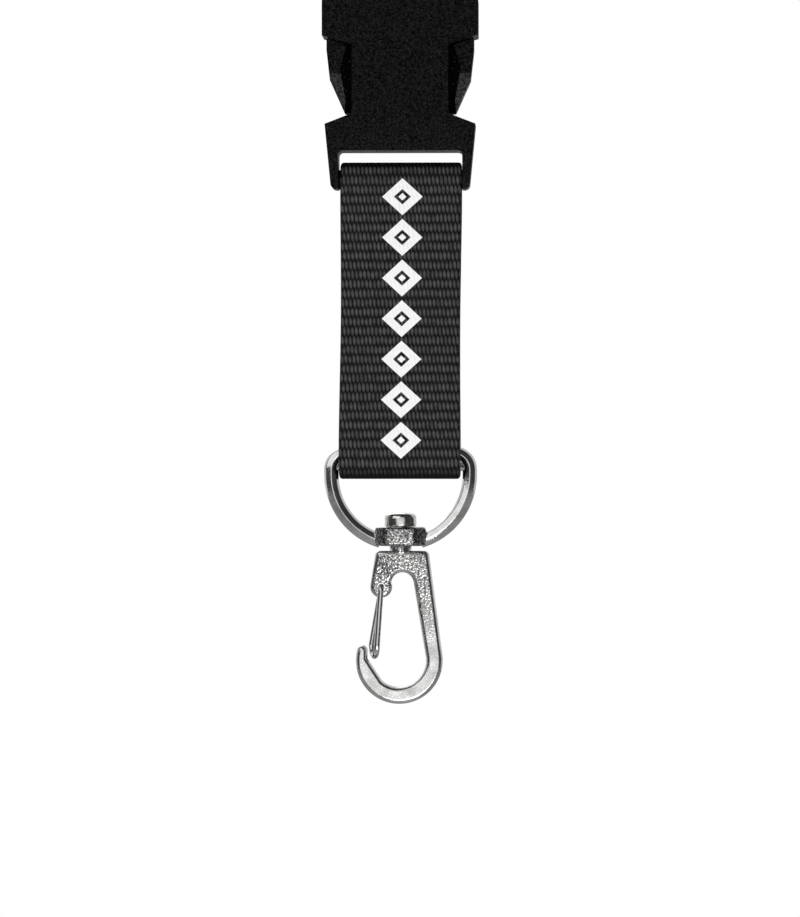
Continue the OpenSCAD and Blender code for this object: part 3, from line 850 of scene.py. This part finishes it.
def hook_outline(inset):
    """The casting's outline, clockwise from its top left corner, in X and Z below the hook's top.
    Inset moves every side inwards by the same amount."""
    left = Vector((top_left + top_round, -top_round))
    right = Vector((top_right - top_round, -top_round))
    spine_out = touch_angle(right, top_round, bow, bow_r, 1)
    spine_in = touch_angle(arch, arch_r, bow, bow_r - bow_t, 1)
    ear_out = touch_angle(left, top_round, ear, ear_r, -1) % 360
    inner_r = bow_r - bow_t
    cut_start = Vector((nose.x + nose_r, nose.y - nose_side))
    cut_end = bow + inner_r * way_at(nose_cut_angle)
    cut_way = (cut_end - cut_start).normalized()
    side_in, cut_in = Vector((-1, 0)), Vector((cut_way.y, -cut_way.x))
    cut_start += inset * (side_in + cut_in) / (1 + side_in.dot(cut_in))
    points = arc(left, top_round - inset, ear_out, 90, 6)
    points += arc(right, top_round - inset, 90, spine_out, 6)
    points += arc(bow, bow_r - inset, spine_out, nose_angle - 360, 60)[1:]
    points += arc(nose, nose_r - inset, nose_angle, 0, 14)[1:]
    points += [tuple(cut_start)]
    points += arc(bow, inner_r + inset, nose_cut_angle, 360 + spine_in, 40)
    points += arc(arch, arch_r + inset, spine_in, 180, 24)
    points += arc(ear, ear_r - inset, ear_in_angle, ear_out - 360, 28)
    return points


# One loop of points for each step of the roll, from the front face round to the back face
hook_form = bmesh.new()
half_wall = hook_depth / 2 - roll_deep
rolls = [math.pi / 2 * k / roll_steps for k in range(roll_steps + 1)]
layers = [(-1, roll) for roll in reversed(rolls)] + [(1, roll) for roll in rolls]
loops = []
for side, roll in layers:
    y = side * (half_wall + roll_deep * math.sin(roll))
    points = hook_outline(roll_in * (1 - math.cos(roll)))
    verts = [hook_form.verts.new((x, y, hook_top + z)) for x, z in points]
    loops.append([hook_form.edges.new(pair) for pair in zip(verts, verts[1:] + verts[:1])])
    if roll == rolls[-1]:
        hook_form.faces.new(verts)
for upper, lower in zip(loops, loops[1:]):
    bmesh.ops.bridge_loops(hook_form, edges=upper + lower)
bmesh.ops.recalc_face_normals(hook_form, faces=hook_form.faces)

# Both faces slope in towards the ear, which is only ear_depth thick round its hole
slope_way = Vector((-0.8, 0, -0.6))
slope_end = 0.6 * mm
slope_len = 4.2 * mm
slope_cuts = 10
ear_middle = Vector((ear.x, 0, hook_top + ear.y))
for i in range(slope_cuts + 1):
    back_off = slope_end + slope_len * i / slope_cuts
    bmesh.ops.bisect_plane(hook_form, geom=hook_form.verts[:] + hook_form.edges[:] + hook_form.faces[:],
                           plane_co=ear_middle - slope_way * back_off, plane_no=slope_way)
for vert in hook_form.verts:
    if vert.co.z > hook_top + ear.y - 2 * ear_r:
        before = (ear_middle - vert.co).dot(slope_way)
        share = 1 - smooth_step((before - slope_end) / slope_len)
        vert.co.y *= 1 - share * (1 - ear_depth / hook_depth)
boss = cylinder(boss_r, boss_h + boss_foot, 64)
bmesh.ops.translate(boss, verts=boss.verts, vec=(0, 0, hook_top + (boss_h - boss_foot) / 2))
round_edges(boss, boss_edge, 3)
hole = cylinder(ear_hole_r, hook_depth * 2, 48)
bmesh.ops.rotate(hole, verts=hole.verts, matrix=Matrix.Rotation(math.pi / 2, 3, "X"))
bmesh.ops.translate(hole, verts=hole.verts, vec=ear_middle)
hook_form = combine(combine(hook_form, boss, "UNION"), hole, "DIFFERENCE")
for face in hook_form.faces:
    face.material_index = 1 if abs(face.normal.y) > 0.95 else 0
hook_metals = [plated_zinc("rolled_edge", 0.02 * mm, 0.16),
               plated_zinc("cast_face", 0.1 * mm, 0.2, 0.9, (smooth_from, pebbled_from))]
hook = make_piece(hook_form, "cast_hook", hook_metals, "hook", "plated_casting", "hook_body")
even_normals(hook, 38)


# Gate: one length of springy steel wire, bent so that a leg lies on each side of the ear and the
# loop at the bottom shuts against the inside of the nose.
wire_r = 0.475 * mm
wire_sides = 20
wire_end_y = 0.25 * mm
nose_gap = 0.12 * mm
leg_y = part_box("gate_wire")[1].y - wire_r
leg_lean = 1.0 * mm
leg_end_z = nose.y + 0.9 * mm
knee_r, knee_steps = 0.55 * mm, 8
loop_x = nose.x + nose_r + nose_gap + wire_r + leg_lean / 2
loop_r, loop_steps = math.hypot(leg_lean / 2, leg_y), 32


def gate_path():
    """Middle of the wire, from its end in the front of the ear round the loop to its end in the back."""
    legs = []
    for side in (-1, 1):
        foot_x = loop_x - side * leg_lean / 2
        knee = Vector((ear.x, side * leg_y, ear.y))
        inwards = Vector((0, -side, 0))
        down = (Vector((foot_x, side * leg_y, leg_end_z)) - knee).normalized()
        leg = [Vector((ear.x, side * wire_end_y, ear.y))]
        for i in range(knee_steps + 1):
            turn = math.pi / 2 * i / knee_steps
            leg.append(knee + knee_r * (inwards * (1 - math.sin(turn)) + down * (1 - math.cos(turn))))
        legs.append(leg)
    loop = []
    for i in range(loop_steps + 1):
        turn = math.pi * i / loop_steps
        across, down = math.cos(turn), math.sin(turn)
        loop.append(Vector((loop_x + leg_lean / 2 * across, -leg_y * across, leg_end_z - loop_r * down)))
    points = legs[0] + loop + legs[1][::-1]
    return [point + Vector((0, 0, hook_top)) for point in points]


round_wire = arc((0, 0), wire_r, 0, 360 - 360 / wire_sides, wire_sides - 1)
drawn_wire = bright_steel("drawn_wire", (2500, 2500, 250))
gate = make_piece(swept(round_wire, gate_path()), "bent_gate", [drawn_wire], "gate", "steel", "gate_wire")
even_normals(gate, 60)
